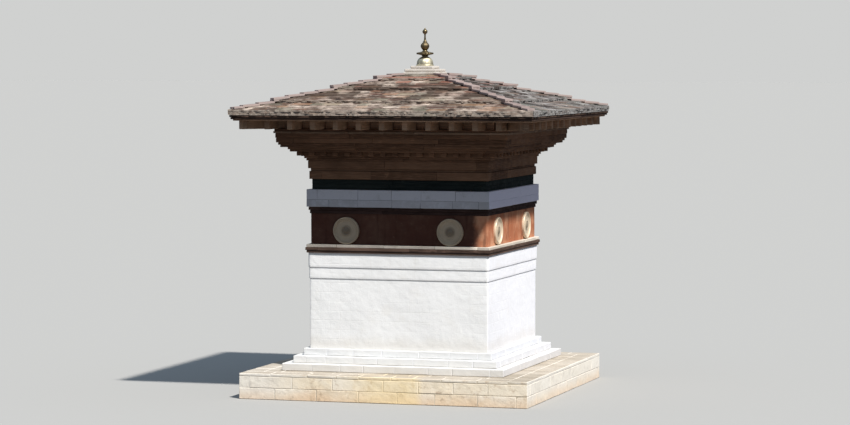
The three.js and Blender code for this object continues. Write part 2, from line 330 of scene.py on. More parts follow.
def blocks(low, high, chamfer, wobble=0.0, rng=None):
    """Points (n, 24, 3) of n blocks between their low and high corners.

    point = middle + sign * half side, moved in by the chamfer along the two axes of its face. Each
    corner is moved at random by up to wobble, so that a block is a little out of true."""
    low, high = np.atleast_2d(low), np.atleast_2d(high)
    ends = (low + high)[:, None] / 2 + BLOCK_SIGNS * (high - low)[:, None] / 2
    if wobble:
        ends = ends + rng.uniform(-wobble, wobble, ends.shape)
    inset = chamfer * BLOCK_SIGNS[:, None] * (1 - np.eye(3))
    return (ends[:, :, None] - inset).reshape(len(low), BLOCK_POINTS, 3)


def course(rng, half, low, high, depth, usual, joint, chamfer, wobble, flip):
    """A square ring of blocks laid end to end, half wide each way, between two heights, and tones.

    Each side runs from one corner to the face of the next side's first block, so the ring closes
    without an overlap, and flip turns the bond round. The blocks' ends are the running sums of
    random widths, made to fit."""
    points, tones = [], []
    for quarter in range(4):
        count = max(2, round((2 * half - depth) / usual))
        ends = np.concatenate([[0], np.cumsum(rng.uniform(0.7, 1.3, count))])
        ends = -half + ends / ends[-1] * (2 * half - depth)
        if flip:
            ends = -ends[::-1]
        lows = corners(ends[:-1] + joint / 2, -half, low)
        highs = corners(ends[1:] - joint / 2, depth - half, high - joint / 2)
        points.append(turn(blocks(lows, highs, chamfer, wobble, rng), quarter))
        tones.append(rng.uniform(0, 1, count))
    return np.concatenate(points), np.concatenate(tones)


class Stack:
    """Rings and blocks in the box of one CAD node, which end as one piece.

    A ring stands back from the box's side by its inset, and is as high as the box unless foot or
    head says otherwise. Each block has a tone from 0 to 1, and the mortar bed has the tone -1."""

    def __init__(self, sizes, name, node, rng=None):
        low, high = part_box(node)
        self.sizes, self.name, self.node = sizes, name, node
        self.half, self.foot, self.middle, self.head = high.x, low.z, (low.z + high.z) / 2, high.z
        self.rng = rng or seeded(name)
        self.points, self.tones = [], []

    def put(self, points, tones):
        """Adds the points of blocks, with a tone for each."""
        self.points.append(points)
        self.tones.append(tones)

    def ring(self, inset, foot, head, *bond, tones=(0, 1)):
        """A course between two heights. tones is the range that its tones are brought into."""
        foot, head = self.foot if foot is None else foot, self.head if head is None else head
        points, own_tones = course(self.rng, self.half - inset, foot, head, *bond)
        self.put(points, tones[0] + (tones[1] - tones[0]) * own_tones)

    def boards(self, inset=0.0, foot=None, head=None, flip=False, depth=0.34, usual=None):
        """A ring of boards with thin joints."""
        sizes = self.sizes
        bond = depth, usual or sizes.board_length, sizes.board_joint, sizes.board_chamfer
        self.ring(inset, foot, head, *bond, BOARD_WOBBLE, flip)

    def two_boards(self, inset, **settings):
        """Two rings of boards, the lower one set back by the inset."""
        self.boards(inset, head=self.middle, **settings)
        self.boards(foot=self.middle, flip=True, **settings)

    def stones(
        self, depth, usual, inset=0.0, foot=None, head=None, flip=False, chamfer=1.0, joint=1.0,
        tones=(0, 1),
    ):
        """A ring of stones. chamfer and joint are shares of the usual sizes."""
        bond = depth, usual, joint * self.sizes.stone_joint, chamfer * self.sizes.stone_chamfer
        self.ring(inset, foot, head, *bond, STONE_WOBBLE, flip, tones=tones)

    def bed(self, inset, sunk):
        """The mortar bed behind the rings: one plain block."""
        half = self.half - inset
        low, high = [-half, -half, self.foot + 0.004], [half, half, self.head - sunk]
        self.put(blocks(low, high, 0.002), np.array([-1.0]))

    def blocks(self, low, high, chamfer, wobble=0.0, quarter=0, tone=None):
        """Single blocks between their corners, turned to a side."""
        points = turn(blocks(low, high, chamfer, wobble, self.rng), quarter)
        count = len(points)
        self.put(points, self.rng.uniform(0.2, 1, count) if tone is None else np.full(count, tone))

    def add(self, material, slot):
        """Makes the piece."""
        points = np.concatenate(self.points)
        faces = repeated(BLOCK_FACES, len(points), BLOCK_POINTS)
        tone = np.repeat(np.concatenate(self.tones), BLOCK_POINTS)
        add_piece(self.name, points, faces, material, self.node, tone)


def waves(rng, along, height, around, size, count=26):
    """Unevenness of a wall unrolled flat: the sum of count sine waves, whole ones round it."""
    total = np.zeros(np.broadcast(along, height).shape)
    for number in range(count):
        length_along = rng.uniform(0.35, 3.5)
        turns = max(1, round(around / length_along))
        rise = rng.uniform(-9, 9)
        phase = rng.uniform(0, 2 * math.pi)
        total += np.sin(2 * math.pi * turns * along / around + rise * height + phase) * length_along
    return size * total / np.abs(total).max()


def soft_square(half, radius, grid):
    """A square path with round corners, as inner points c and normals n: path = c + radius * n."""
    inner = half - radius
    straight = np.linspace(-inner, inner, int(2 * inner / grid) + 1)
    arc = np.linspace(0, math.pi / 2, 5)[1:-1]
    centres = np.concatenate([corners(straight, -inner, 0), corners(inner + 0 * arc, -inner, 0)])
    normals = np.concatenate([corners(0 * straight, -1, 0), corners(np.sin(arc), -np.cos(arc), 0)])
    return [np.concatenate([turn(side, k) for k in range(4)]) for side in (centres, normals)]


def plastered_wall(sizes, name, node, half, profile, radius, wave, material):
    """A plastered wall with soft corners, and a UV map of it unrolled, in metres.

    The profile gives (standing out, height) from foot to head. For a path of inner points c(s) and
    outward normals n(s), point = c + n (radius + standing out + waves)."""
    centres, normals = soft_square(half, radius, sizes.plaster_grid)
    path = centres + radius * normals
    steps = np.linalg.norm(np.roll(path, -1, axis=0) - path, axis=1)
    along = np.concatenate([[0], np.cumsum(steps)])
    rows = []
    for start, end in zip(profile[:-1], profile[1:]):
        start, end = np.array([start]), np.array([end])
        count = max(1, round((end[0, 1] - start[0, 1]) / sizes.plaster_grid))
        rows.append(start + np.arange(count)[:, None] / count * (end - start))
    rows = np.concatenate([*rows, [profile[-1]]])
    out, height = rows[:, :1], rows[:, 1:]
    stand = radius + out + waves(seeded(name), along[None, :-1], height, along[-1], wave)
    points = centres[None] + normals[None] * stand[:, :, None]
    points[:, :, 2] = height
    points = np.concatenate([points.reshape(-1, 3), corners(0, 0, height[[0, -1], 0])])
    faces, i, j = closed_tube(len(rows), len(path))
    piece = add_piece(name, points, faces, material, node, smooth_angle=40)
    sides = along[np.stack([j, j + 1, j + 1, j], axis=-1)].reshape(-1)
    rises = height[:, 0][np.stack([i, i, i + 1, i + 1], axis=-1)].reshape(-1)
    unrolled = np.concatenate([np.stack([sides, rises], axis=1), np.zeros((6 * len(path), 2))])
    piece.data.uv_layers.new(name="unrolled").data.foreach_set("uv", unrolled.ravel())


def slate_form():
    """Shares (across, up the slope) of a slate's 9 outline points, and its three rings' faces.

    The outline runs along the lower edge, up the right side and back down the left. Rings from
    below: the underside, the edge, and the worn upper face."""
    across = np.array([0, 0.25, 0.5, 0.75, 1, 1, 1, 0, 0])
    up = np.array([0, 0, 0, 0, 0, 0.5, 1, 1, 0.5])
    n = len(across)
    faces = [list(range(n))[::-1], list(range(2 * n, 3 * n))]
    for ring in (0, n):
        for i in range(n):
            j = (i + 1) % n
            faces.append([ring + i, ring + j, ring + n + j, ring + n + i])
    return across, up, faces


SLATE_ACROSS, SLATE_UP, SLATE_FACES = slate_form()
SLATE_POINTS = 27


def slates(rng, sizes, left, right, outer, top, climb, depth, thick, cut=True):
    """Points (n, 27, 3) of n slates in one row, whose lower edge lies outer in front of the Z axis.

    x = left + (right - left) * across, y = depth * up - outer, z = top + climb * depth * up. The
    lower edge is ragged, and a cut row stops at the hips, |x| = outer - depth * up."""
    each = (len(left), 1)
    every = (len(left), len(SLATE_UP))
    ragged = rng.uniform(-1, 1, every) * sizes.slate_ragged * (SLATE_UP == 0)
    ragged = ragged + rng.uniform(-0.5, 0.5, each) * sizes.slate_ragged
    x = left[:, None] + (right - left)[:, None] * SLATE_ACROSS
    inward = depth * SLATE_UP + ragged
    if cut:
        limit = outer - inward - 0.006
        x = np.clip(x, -limit, limit)
    y = inward - outer
    lift = rng.uniform(-0.0025, 0.0035, each) * (1 - SLATE_UP)
    z = top + climb * inward + lift + rng.uniform(-0.002, 0.002, every)
    edge = corners(x, y, z - sizes.slate_chamfer * rng.uniform(0.5, 1.3, every))
    under = corners(x, y, z - thick * rng.uniform(0.92, 1.05, each))
    face = corners(x, y, z)
    towards = face.mean(1, keepdims=True) - face
    towards[:, :, 2] = 0
    face = face + sizes.slate_chamfer * towards / np.linalg.norm(towards, axis=-1, keepdims=True)
    return np.concatenate([under, edge, face], axis=1)


def add_slates(name, node, rows, tones, quarters, material):
    """One piece from rows of slates, turned to their side, with a tone for each slate."""
    points = turn(np.concatenate(rows), quarters)
    faces = repeated(SLATE_FACES, len(points), SLATE_POINTS)
    add_piece(name, points, faces, material, node, np.repeat(tones, SLATE_POINTS))


def plane_height(half):
    """Height of the roof's plane, half out from the middle."""
    return EAVE_TOP + (EAVE_HALF - half) * ROOF_SLOPE


def roof_rows():
    """The courses of the roof from the eave up: half width, height, rise per metre inward, butt.

    A tier starts on the plane of the roof, rises evenly, and ends one thick butt below it."""
    rows, half = [], EAVE_HALF
    for tier, count in enumerate(TIERS):
        height = plane_height(half)
        climb = plane_height(half - count * NARROWING) - BUTT_THICK - height
        rise = (climb - (count - 1) * BUTT_THIN) / count
        for i in range(count):
            butt = BUTT_THIN if i else (BUTT_THICK if tier else EAVE_THICK)
            rows.append((half, height, rise / NARROWING, butt))
            half -= NARROWING
            height += rise + BUTT_THIN
    return rows


ROWS = roof_rows()


def closed(profile):
    """A profile of (radius, height) led to the axis at both ends, round sharp corners."""
    first, last = profile[0], profile[-1]
    head = [last, (0, last[1]), (0, last[1])] if last[0] else [last]
    return [(0, first[1]), (0, first[1]), first, *profile, *head]


def smoothed(profile, steps=3):
    """A profile of (radius, height), rounded by Catmull and Rom's cubic between each two points.

    A point that is given twice stays a corner."""
    points = np.array(profile, float)
    padded = np.concatenate([points[:1], points, points[-1:]])
    p0, p1, p2, p3 = (padded[k : len(padded) - 3 + k, None] for k in range(4))
    t = (np.arange(steps) / steps)[None, :, None]
    curve = 0.5 * (
        2 * p1 + (p2 - p0) * t + (2 * p0 - 5 * p1 + 4 * p2 - p3) * t**2
        + (3 * p1 - p0 - 3 * p2 + p3) * t**3
    )
    moving = np.linalg.norm(p2 - p1, axis=-1)[:, 0] > 1e-6
    curve = np.concatenate([curve[moving].reshape(-1, 2), points[-1:]])
    curve[:, 0] = np.maximum(curve[:, 0], 0)
    return curve


def turned_piece(profile, segments, petals, petal_rows, petal_depth):
    """Points and faces of a turned piece, from its profile without the ends on the axis.

    x = r cos a, y = r sin a, z = h. Between the heights of petal_rows the radius is also taken in
    by petal_depth * (1 - |cos(petals * a / 2)|), which cuts a ring of petals."""
    profile = smoothed(closed(profile))
    angle = np.arange(segments) * 2 * math.pi / segments
    radius, height = profile[1:-1, :1], profile[1:-1, 1:]
    low, high = petal_rows
    inside = (height > low) & (height < high)
    radius = radius - inside * petal_depth * (1 - np.abs(np.cos(petals * angle / 2)))[None]
    rings = corners(radius * np.cos(angle), radius * np.sin(angle), height)
    poles = corners(0, 0, profile[[0, -1], 1])
    return np.concatenate([rings.reshape(-1, 3), poles]), closed_tube(len(rings), segments)[0]


# Finishes


def scaled(linear, share):
    """A colour times a share."""
    return tuple(share * value for value in linear)


def add_node(tree, kind, inputs=None, **settings):
    """A shader node with its settings, and its inputs either joined or set."""
    node = tree.nodes.new(kind)
    for key, value in settings.items():
        setattr(node, key, value)
    for key, value in (inputs or {}).items():
        if isinstance(value, bpy.types.NodeSocket):
            tree.links.new(value, node.inputs[key])
        else:
            node.inputs[key].default_value = value
    return node


class Finish:
    """A material in the making: coats of colour laid over each other, then relief and roughness."""

    def __init__(self, name, start=None, metallic=0.0, specular=0.15):
        self.material = bpy.data.materials.new(name)
        self.material.use_nodes = True
        self.tree = self.material.node_tree
        self.shader = self.tree.nodes["Principled BSDF"]
        self.shader.inputs["Metallic"].default_value = metallic
        self.shader.inputs["Specular IOR Level"].default_value = specular
        self.place = self.node("ShaderNodeTexCoord").outputs["Object"]
        self.at = self.node("ShaderNodeSeparateXYZ", {0: self.place}).outputs
        self.height = self.at["Z"]
        tone = self.node("ShaderNodeAttribute", attribute_name="tone")
        self.tone = tone.outputs["Fac"]
        moved = {0: tone.outputs["Vector"], 1: (5.0, 3.0, 7.0), 2: self.place}
        moved = self.node("ShaderNodeVectorMath", moved, operation="MULTIPLY_ADD")
        self.own_place = moved.outputs[0]
        normal = self.node("ShaderNodeNewGeometry").outputs["True Normal"]
        self.facing = self.node("ShaderNodeSeparateXYZ", {0: normal}).outputs
        self.colour = start

    def node(self, kind, inputs=None, **settings):
        """A node of this material."""
        return add_node(self.tree, kind, inputs, **settings)

    def noise(self, scale, detail=5, roughness=0.55, stretch=None, own=True):
        """Noise from 0 to 1. own gives each block its own part of the pattern."""
        place = self.own_place if own else self.place
        if stretch:
            place = self.node("ShaderNodeMapping", {"Vector": place, "Scale": stretch}).outputs[0]
        inputs = {"Vector": place, "Scale": scale, "Detail": detail, "Roughness": roughness}
        return self.node("ShaderNodeTexNoise", inputs).outputs[0]

    def band(self, value, low, high, to_low=0.0, to_high=1.0):
        """A smooth step: to_low where value is at low or less, to_high at high or more."""
        inputs = {
            "Value": value, "From Min": low, "From Max": high, "To Min": to_low, "To Max": to_high,
        }
        return self.node("ShaderNodeMapRange", inputs, interpolation_type="SMOOTHSTEP").outputs[0]

    def math(self, operation, *values):
        """One sum, product or other operation on values."""
        return self.node("ShaderNodeMath", dict(enumerate(values)), operation=operation).outputs[0]

    def shuffled(self, factor):
        """Another random value from 0 to 1 for each block: the fraction of tone times factor."""
        return self.math("FRACT", self.math("MULTIPLY", self.tone, factor))

    def upright(self, share):
        """That share on faces that stand upright, and 0 on those that look up."""
        return self.band(self.facing["Z"], 0.3, 0.8, share, 0.0)

    def right_side(self, to_high=1.0, to_low=0.0):
        """to_high on faces that look towards +X, and to_low on the others."""
        return self.band(self.facing["X"], 0.4, 0.8, to_low, to_high)

    def mix(self, share, one, two, **settings):
        """Colour one where share is 0, and two where it is 1."""
        one, two = ((*c, 1.0) if isinstance(c, tuple) else c for c in (one, two))
        inputs = {0: share, 6: one, 7: two}
        return self.node("ShaderNodeMix", inputs, data_type="RGBA", **settings).outputs[2]

    def coat(self, share, colour):
        """Lays a share of a colour over the coats so far."""
        self.colour = self.mix(share, self.colour, colour)

    def over(self, colour, value, low, high, to_high=1.0, to_low=0.0):
        """Lays a colour over the coats so far, where value goes from low to high."""
        self.coat(self.band(value, low, high, to_low, to_high), colour)

    def mortar(self, colour, share=1.0):
        """Colours the mortar bed, whose tone is below 0."""
        self.over(colour, self.tone, -0.6, -0.4, 0.0, share)

    def shaded(self, share):
        """The colour so far, multiplied by a value or a colour."""
        return self.mix(1.0, self.colour, share, blend_type="MULTIPLY")

    def relief(self, *layers):
        """Bump from (height, distance in metres) layers, one over the other."""
        normal = None
        for height, distance in layers:
            inputs = {"Height": height, "Distance": distance, "Strength": 1.0}
            if normal is not None:
                inputs["Normal"] = normal
            normal = self.node("ShaderNodeBump", inputs).outputs[0]
        self.tree.links.new(normal, self.shader.inputs["Normal"])

    def done(self, pattern, smooth, rough, low=0.3):
        """Joins the colour and a roughness that follows a pattern, and gives the material."""
        roughness = self.band(pattern, low, 0.7, smooth, rough)
        self.tree.links.new(self.colour, self.shader.inputs["Base Color"])
        self.tree.links.new(roughness, self.shader.inputs["Roughness"])
        return self.material


def limewash_finish(name, colours, foot, head, unrolled=False, share=1.0):
    """Limewash over rough stone, with grime at its foot and thin runs of dirt below its head."""
    white, grime = scaled(colours.whitewash, share), colours.wash_grime
    finish = Finish(name, white)
    finish.over(scaled(white, 0.94), finish.noise(0.55, 6, 0.6, own=False), 0.35, 0.7)
    finish.over((0.80, 0.77, 0.71), finish.noise(1.6), 0.52, 0.78, 0.25)
    runs = finish.noise(2.3, 7, 0.65, stretch=(3.2, 3.2, 0.16), own=False)
    below_head = finish.band(finish.height, head - 1.3, head, 0.0, 0.22)
    finish.coat(finish.math("MULTIPLY", finish.band(runs, 0.54, 0.74), below_head), grime)
    splashed = finish.math("MULTIPLY", finish.noise(2.1, own=False), -0.42)
    splashed = finish.math("ADD", finish.height, splashed)
    finish.over(grime, splashed, foot - 0.22, foot + 0.22, 0.0, 0.35)
    # Painted light: a little darker low down and lighter towards the head, against the shade of the
    # eaves
    finish.colour = finish.shaded(finish.band(finish.height, 1.2, 3.4, 0.95, 1.08))
    # Painted shade: faces towards +X, where the key lamp falls most, a little darker and bluer
    finish.coat(finish.right_side(), finish.shaded((0.93, 0.935, 0.985)))
    finish.over(grime, finish.noise(34, 2), 0.64, 0.72, 0.25)
    layers = [(finish.noise(5.5, 4), 0.012), (finish.noise(46, 6, 0.7), 0.003)]
    if unrolled:
        bond = {
            "Vector": finish.node("ShaderNodeUVMap", uv_map="unrolled").outputs[0], "Scale": 1.0,
            "Mortar Size": 0.02, "Mortar Smooth": 1.0, "Brick Width": 0.56, "Row Height": 0.255,
            "Color1": (1, 1, 1, 1), "Color2": (0.8, 0.8, 0.8, 1), "Mortar": (0, 0, 0, 1),
        }
        stones = finish.node("ShaderNodeTexBrick", bond).outputs[0]
        patchy = finish.band(finish.noise(0.7, own=False), 0.42, 0.62)
        joints = finish.band(stones, 0.0, 0.5, 0.07, 0.0)
        finish.coat(finish.math("MULTIPLY", joints, patchy), grime)
        layers.insert(0, (finish.math("MULTIPLY", stones, patchy), 0.0015))
    finish.relief(*layers)
    return finish.done(finish.noise(9), 0.78, 0.96)


def plinth_finish(colours):
    """Dirty limewash worn off the plinth's stones, with earth stains rising from the ground."""
    light, dark, stain = colours.plinth_light, colours.plinth_dark, colours.plinth_stain
    finish = Finish("plinth_limewash", dark)
    finish.over(light, finish.tone, 0.0, 1.0)
    finish.over(light, finish.noise(2.2, 7, 0.65), 0.45, 0.68, 0.8)
    washed = finish.noise(1.1, 6, own=False)
    finish.over(scaled(dark, 0.78), finish.noise(1.9, own=False), 0.50, 0.62, 0.7)
    finish.over((0.63, 0.575, 0.50), finish.height, 0.56, 0.68, 0.75)
    rising = finish.math("ADD", finish.height, finish.math("MULTIPLY", washed, -0.75))
    finish.over(stain, rising, -0.42, 0.12, 0.0, 0.9)
    finish.over(scaled(stain, 0.6), finish.noise(6.5, 6), 0.53, 0.72, 0.6)
    finish.mortar(scaled(dark, 0.6), 0.85)
    left_end = finish.band(finish.at["X"], -3.4, -1.8, 0.55, 0.0)
    paler = finish.math("ADD", left_end, finish.right_side(0.65))
    above_stains = finish.band(finish.height, 0.05, 0.35, 0.5, 1.0)
    finish.coat(finish.math("MULTIPLY", paler, above_stains), (0.86, 0.84, 0.80))
    # Painted shade: faces towards +X, where the key lamp falls most, a little darker
    finish.colour = finish.shaded(finish.right_side(0.93, 1.0))
    from_left = finish.band(finish.at["X"], -1.3, 0.0, 0.0, 0.55)
    to_right = finish.band(finish.at["X"], 0.9, 1.2, 1.0, 0.0)
    finish.coat(finish.math("MULTIPLY", from_left, to_right), (0.97, 0.76, 0.41))
    dirt = finish.mix(finish.band(washed, 0.35, 0.65), (0.43, 0.385, 0.33), (0.33, 0.285, 0.23))
    front_end = finish.band(finish.at["Y"], -2.4, -1.8, 0.9, 0.0)
    corner = finish.math("MULTIPLY", finish.band(finish.at["X"], 2.2, 3.4), front_end)
    dirt = finish.mix(corner, dirt, (0.29, 0.25, 0.20))
    finish.over(dirt, finish.facing["Z"], 0.6, 0.9, 0.9)
    finish.relief((finish.noise(4.5, 4), 0.016), (finish.noise(30, 7, 0.7), 0.005))
    return finish.done(finish.noise(7), 0.80, 0.97)


def ochre_finish(colours):
    """Red ochre wash, worn thin in patches and run down in streaks."""
    finish = Finish("ochre_wash")
    across = finish.at["X"]
    # Painted sunlight: towards the +X end, past a ragged line, the wash takes its lit colours
    uneven = finish.math("MULTIPLY", finish.noise(1.9, own=False), 0.5)
    painted_sunlit = finish.band(finish.math("ADD", across, uneven), 2.35, 2.62)
    finish.colour = finish.mix(painted_sunlit, colours.ochre, colours.ochre_painted_sunlit)
    # Worn patches, in their shaded colour or their painted-sunlit colour
    worn = finish.mix(painted_sunlit, colours.ochre_worn, colours.ochre_worn_painted_sunlit)
    finish.over(worn, finish.noise(1.4, 7, 0.62, own=False), 0.4, 0.72, 0.75)
    runs = finish.noise(3.0, 6, stretch=(2.6, 2.6, 0.3), own=False)
    finish.over(scaled(colours.ochre, 0.6), runs, 0.5, 0.75, 0.55)
    # Pale flakes of worn wash, thicker towards the +X end: partly wear, partly painted sunlight
    flakes = finish.band(finish.noise(11, 7, 0.7, own=False), 0.63, 0.70)
    flakes = finish.math("MULTIPLY", flakes, finish.band(across, 1.9, 2.3, 0.12, 0.6))
    finish.coat(flakes, (0.72, 0.55, 0.40))
    finish.relief((finish.noise(6), 0.010), (finish.noise(55, 6), 0.003))
    return finish.done(finish.noise(8), 0.74, 0.93)


def timber_finish(name, light, dark):
    """Brown painted boards: the grain runs level, and the paint is chalky and worn in places."""
    finish = Finish(name, dark, specular=0.06)
    finish.over(light, finish.tone, 0.0, 1.0)
    grain = finish.noise(3.0, 6, 0.6, stretch=(1.0, 1.0, 22.0))
    finish.over(scaled(light, 1.5), grain, 0.42, 0.66, 0.6)
    finish.over(scaled(light, 2.1), finish.noise(2.4, 8, 0.68), 0.58, 0.72, 0.45)
    finish.over(scaled(dark, 0.7), finish.noise(0.8, own=False), 0.4, 0.7, 0.5)
    finish.relief((grain, 0.004), (finish.noise(24), 0.002))
    return finish.done(finish.noise(5), 0.58, 0.85)


def stone_finish(name, light, dark, stain, edge=None, right=None):
    """Cut stone: each stone has its own tone, with mottling, pits and weather stains.

    edge is the colour of upright faces, painted light that lifts their shade, and right that of the
    side that faces +X, painted skylight."""
    finish = Finish(name, dark)
    finish.over(light, finish.tone, 0.0, 1.0)
    finish.over(light, finish.noise(3.4, 8, 0.68), 0.46, 0.66, 0.7)
    finish.over(stain, finish.noise(1.7, 7, 0.6), 0.55, 0.72, 0.6)
    pits = finish.noise(26, 4, 0.6)
    finish.over(scaled(dark, 0.6), pits, 0.6, 0.7, 0.35)
    finish.mortar(scaled(dark, 0.45))
    # Painted light: upright faces lightened, so that their shade is lifted
    if edge:
        finish.coat(finish.upright(0.8), edge)
    # Painted light: the side facing +X paler and bluer, as lit by the sky
    if right:
        finish.coat(finish.right_side(0.7), right)
    finish.relief((finish.noise(7, 6), 0.008), (pits, 0.003))
    return finish.done(finish.noise(9), 0.70, 0.94)


def slate_finish(name, colours):
    """Split slate: pale, dusty, brown and dark ones, and red-brown ones near the apex.

    The middle rows are darker. The upright edges are pale, partly broken stone and partly painted
    sunlight, and the right slope has a painted bluish sky sheen."""
    finish = Finish(name)
    light = colours.slate_light
    cluster = finish.noise(1.5, 2, stretch=(1.0, 1.0, 1.6), own=False)
    cluster = finish.band(cluster, 0.42, 0.58, -0.18, 0.66)
    picked = finish.math("ADD", finish.math("MULTIPLY", finish.tone, 0.50), cluster)
    picked = finish.node("ShaderNodeValToRGB", {0: picked})
    ramp = picked.color_ramp.elements
    ramp[0].position = 0.06
    ramp[0].color = (*colours.slate_dark, 1)
    ramp[1].color = (*colours.slate_pale, 1)
    ramp.new(0.30).color = (*colours.slate_brown, 1)
    ramp.new(0.62).color = (*light, 1)
    finish.colour = picked.outputs[0]
    layers = finish.noise(2.6, 8, 0.66, stretch=(1.6, 1.6, 1.0))
    finish.colour = finish.shaded(finish.band(layers, 0.36, 0.66, 0.52, 1.38))
    finish.over(colours.slate_sandy, finish.shuffled(3.77), 0.72, 0.80, 0.5)
    finish.over(colours.slate_mossy, finish.shuffled(5.13), 0.72, 0.80, 0.5)
    upper = finish.band(finish.height, 8.1, 8.5, 0.12, 0.9)
    red = finish.band(finish.shuffled(7.31), 0.60, 0.68)
    finish.coat(finish.math("MULTIPLY", red, upper), colours.slate_red)
    finish.over((0.20, 0.18, 0.12), finish.noise(5.2, 9, 0.72), 0.60, 0.68, 0.6)
    finish.over(scaled(light, 1.3), finish.noise(1.2, own=False), 0.5, 0.72, 0.5)
    # Upright faces pale: partly broken stone, partly painted sunlight on the butts
    edge = finish.mix(finish.band(finish.noise(8), 0.4, 0.65), colours.slate_edge_and_painted_sun, light)
    finish.coat(finish.upright(0.8), edge)
    from_below = finish.band(finish.height, 7.96, 8.10)
    to_above = finish.band(finish.height, 8.42, 8.56, 1.0, 0.0)
    patches = finish.band(finish.noise(1.35, 4, own=False), 0.48, 0.56, 0.0, 0.8)
    middle = finish.math("MULTIPLY", from_below, to_above)
    finish.coat(finish.math("MULTIPLY", middle, patches), scaled(colours.slate_brown, 0.45))
    # Painted reflection: the right slope tinted bluish grey as by the sky
    right_slope_for_painted_sheen = finish.math("SUBTRACT", finish.at["X"], finish.math("ABSOLUTE", finish.at["Y"]))
    finish.over(finish.shaded(colours.slate_painted_sky_sheen), right_slope_for_painted_sheen, -0.04, 0.04)
    finish.relief((layers, 0.008), (finish.noise(38, 6, 0.7), 0.003))
    return finish.done(finish.noise(6), 0.62, 0.88)


def gilt_finish(name, gilt, dull, tarnish, metallic=0.82, painted_sunlit=None):
    """Weathered gilding: dull film in patches, brighter where it is rubbed, small dents.

    The last colour, if given, is painted sunlight on the side past X = 2.3, and then a low tone
    darkens the piece."""
    finish = Finish(name, gilt, metallic=metallic, specular=0.5)
    film = finish.noise(5.0, 8, 0.66)
    finish.over(dull, film, 0.62 - 0.3 * tarnish, 0.78)
    finish.over(scaled(dull, 0.6), finish.noise(9, 6, stretch=(1.6, 1.6, 0.25)), 0.55, 0.75, 0.7)
    # Painted sunlight on the discs of the +X side
    if painted_sunlit:
        finish.over(painted_sunlit, finish.at["X"], 2.3, 2.4, 0.85)
        finish.over(scaled(dull, 0.5), finish.tone, 0.2, 0.5, 0.0, 0.75)
    finish.relief((finish.noise(11, 3), 0.004), (finish.noise(90, 4), 0.0008))
    return finish.done(film, 0.32, 0.60, low=0.4)


# Boards whose paint differs from the usual: light and dark, linear
TIMBERS = {
    "ledge_timber": ((0.130, 0.085, 0.066), (0.050, 0.032, 0.026)),
    "neck_timber": ((0.070, 0.042, 0.036), (0.032, 0.019, 0.017)),
    # Painted shade: the frieze's recessed foot nearly black, as in its shadow
    "foot_timber_painted_shade": ((0.030, 0.037, 0.033), (0.014, 0.020, 0.020)),
    "strip_timber": ((0.29, 0.21, 0.155), (0.17, 0.115, 0.08)),
    "joist_timber": ((0.37, 0.25, 0.17), (0.19, 0.12, 0.08)),
    # Painted light: timbers deep in the shade between and above the joists, lighter than the joists
    # to lift that shade
    "inner_timber_painted_light": ((0.50, 0.33, 0.22), (0.34, 0.21, 0.14)),
}


def timber(name, pair=None):
    """A finish of boards from its light and dark colours, made once."""
    return bpy.data.materials.get(name) or timber_finish(name, *(pair or TIMBERS[name]))


def split_slate(colours):
    """The finish of the slates and of the roof's bed, made once."""
    return bpy.data.materials.get("split_slate") or slate_finish("split_slate", colours)


# Operators, one for each piece or group of like pieces


class Step(Operator):
    """What the operators share."""

    def pick(self, context):
        """The sizes, and the colours as plain tuples."""
        group = context.scene.stupa_colours
        colours = {name: tuple(getattr(group, name)) for name in StupaColours.__annotations__}
        return context.scene.stupa_sizes, SimpleNamespace(**colours)


class STUPA_OT_plinth(Step):
    """Lays the plinth: two courses of stones under two rings of flags"""

    bl_idname = "stupa.plinth"
    bl_label = "Plinth"

    def execute(self, context):
        sizes, colours = self.pick(context)
        plinth = Stack(sizes, "plinth_stones", "plinth")
        under_flags = plinth.head - FLAG_THICK
        half_way = under_flags / 2
        plinth.bed(0.006, 0.012)
        plinth.stones(0.30, 1.05, head=half_way, joint=0.6)
        plinth.stones(0.30, 1.05, foot=half_way, head=under_flags, flip=True, joint=0.6)
        plinth.stones(FLAG_DEPTH, 0.85, foot=under_flags, chamfer=1.3)
        plinth.stones(0.50, 0.7, inset=FLAG_DEPTH + 0.004, foot=under_flags, flip=True)
        plinth.add(plinth_finish(colours), "plinth_wash")
        return {"FINISHED"}


class STUPA_OT_steps(Step):
    """Lays the three small limewashed steps at the foot of the wall"""

    bl_idname = "stupa.steps"
    bl_label = "Steps"

    def execute(self, context):
        sizes, colours = self.pick(context)
        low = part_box("base_step_lower")[0].z
        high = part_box("base_step_upper")[1].z
        # Painted shade: the steps get a darker copy of the limewash, against the extra light that
        # reaches them
        finish = limewash_finish("limewash_steps", colours, low + 0.04, high + 2.0, share=0.87)
        for level in ("lower", "middle", "upper"):
            node = f"base_step_{level}"
            step = Stack(sizes, f"step_{level}_stones", node, seeded(node))
            step.bed(0.008, 0.008)
            step.stones(0.36, 0.8, flip=level == "middle")
            step.add(finish, "whitewash")
        return {"FINISHED"}


class STUPA_OT_white_wall(Step):
    """Plasters the white wall, whose head steps out twice"""

    bl_idname = "stupa.white_wall"
    bl_label = "White wall"

    def execute(self, context):
        sizes, colours = self.pick(context)
        low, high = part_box("white_wall")
        lip = np.array([(0, 0), (0.85 * WALL_STEP, 0.006), (WALL_STEP, 0.02)])
        steps = [lip + (number * WALL_STEP, height) for number, height in enumerate(WALL_STEPS)]
        whole = len(WALL_STEPS) * WALL_STEP
        profile = [(0, low.z), *np.concatenate(steps), (whole, high.z + LEDGE_BED)]
        finish = limewash_finish("limewash_wall", colours, low.z + 0.05, high.z, unrolled=True)
        plastered_wall(
            sizes, "wall_limewash", "white_wall", high.x - whole, profile, 0.02,
            sizes.plaster_wave, finish,
        )
        return {"FINISHED"}


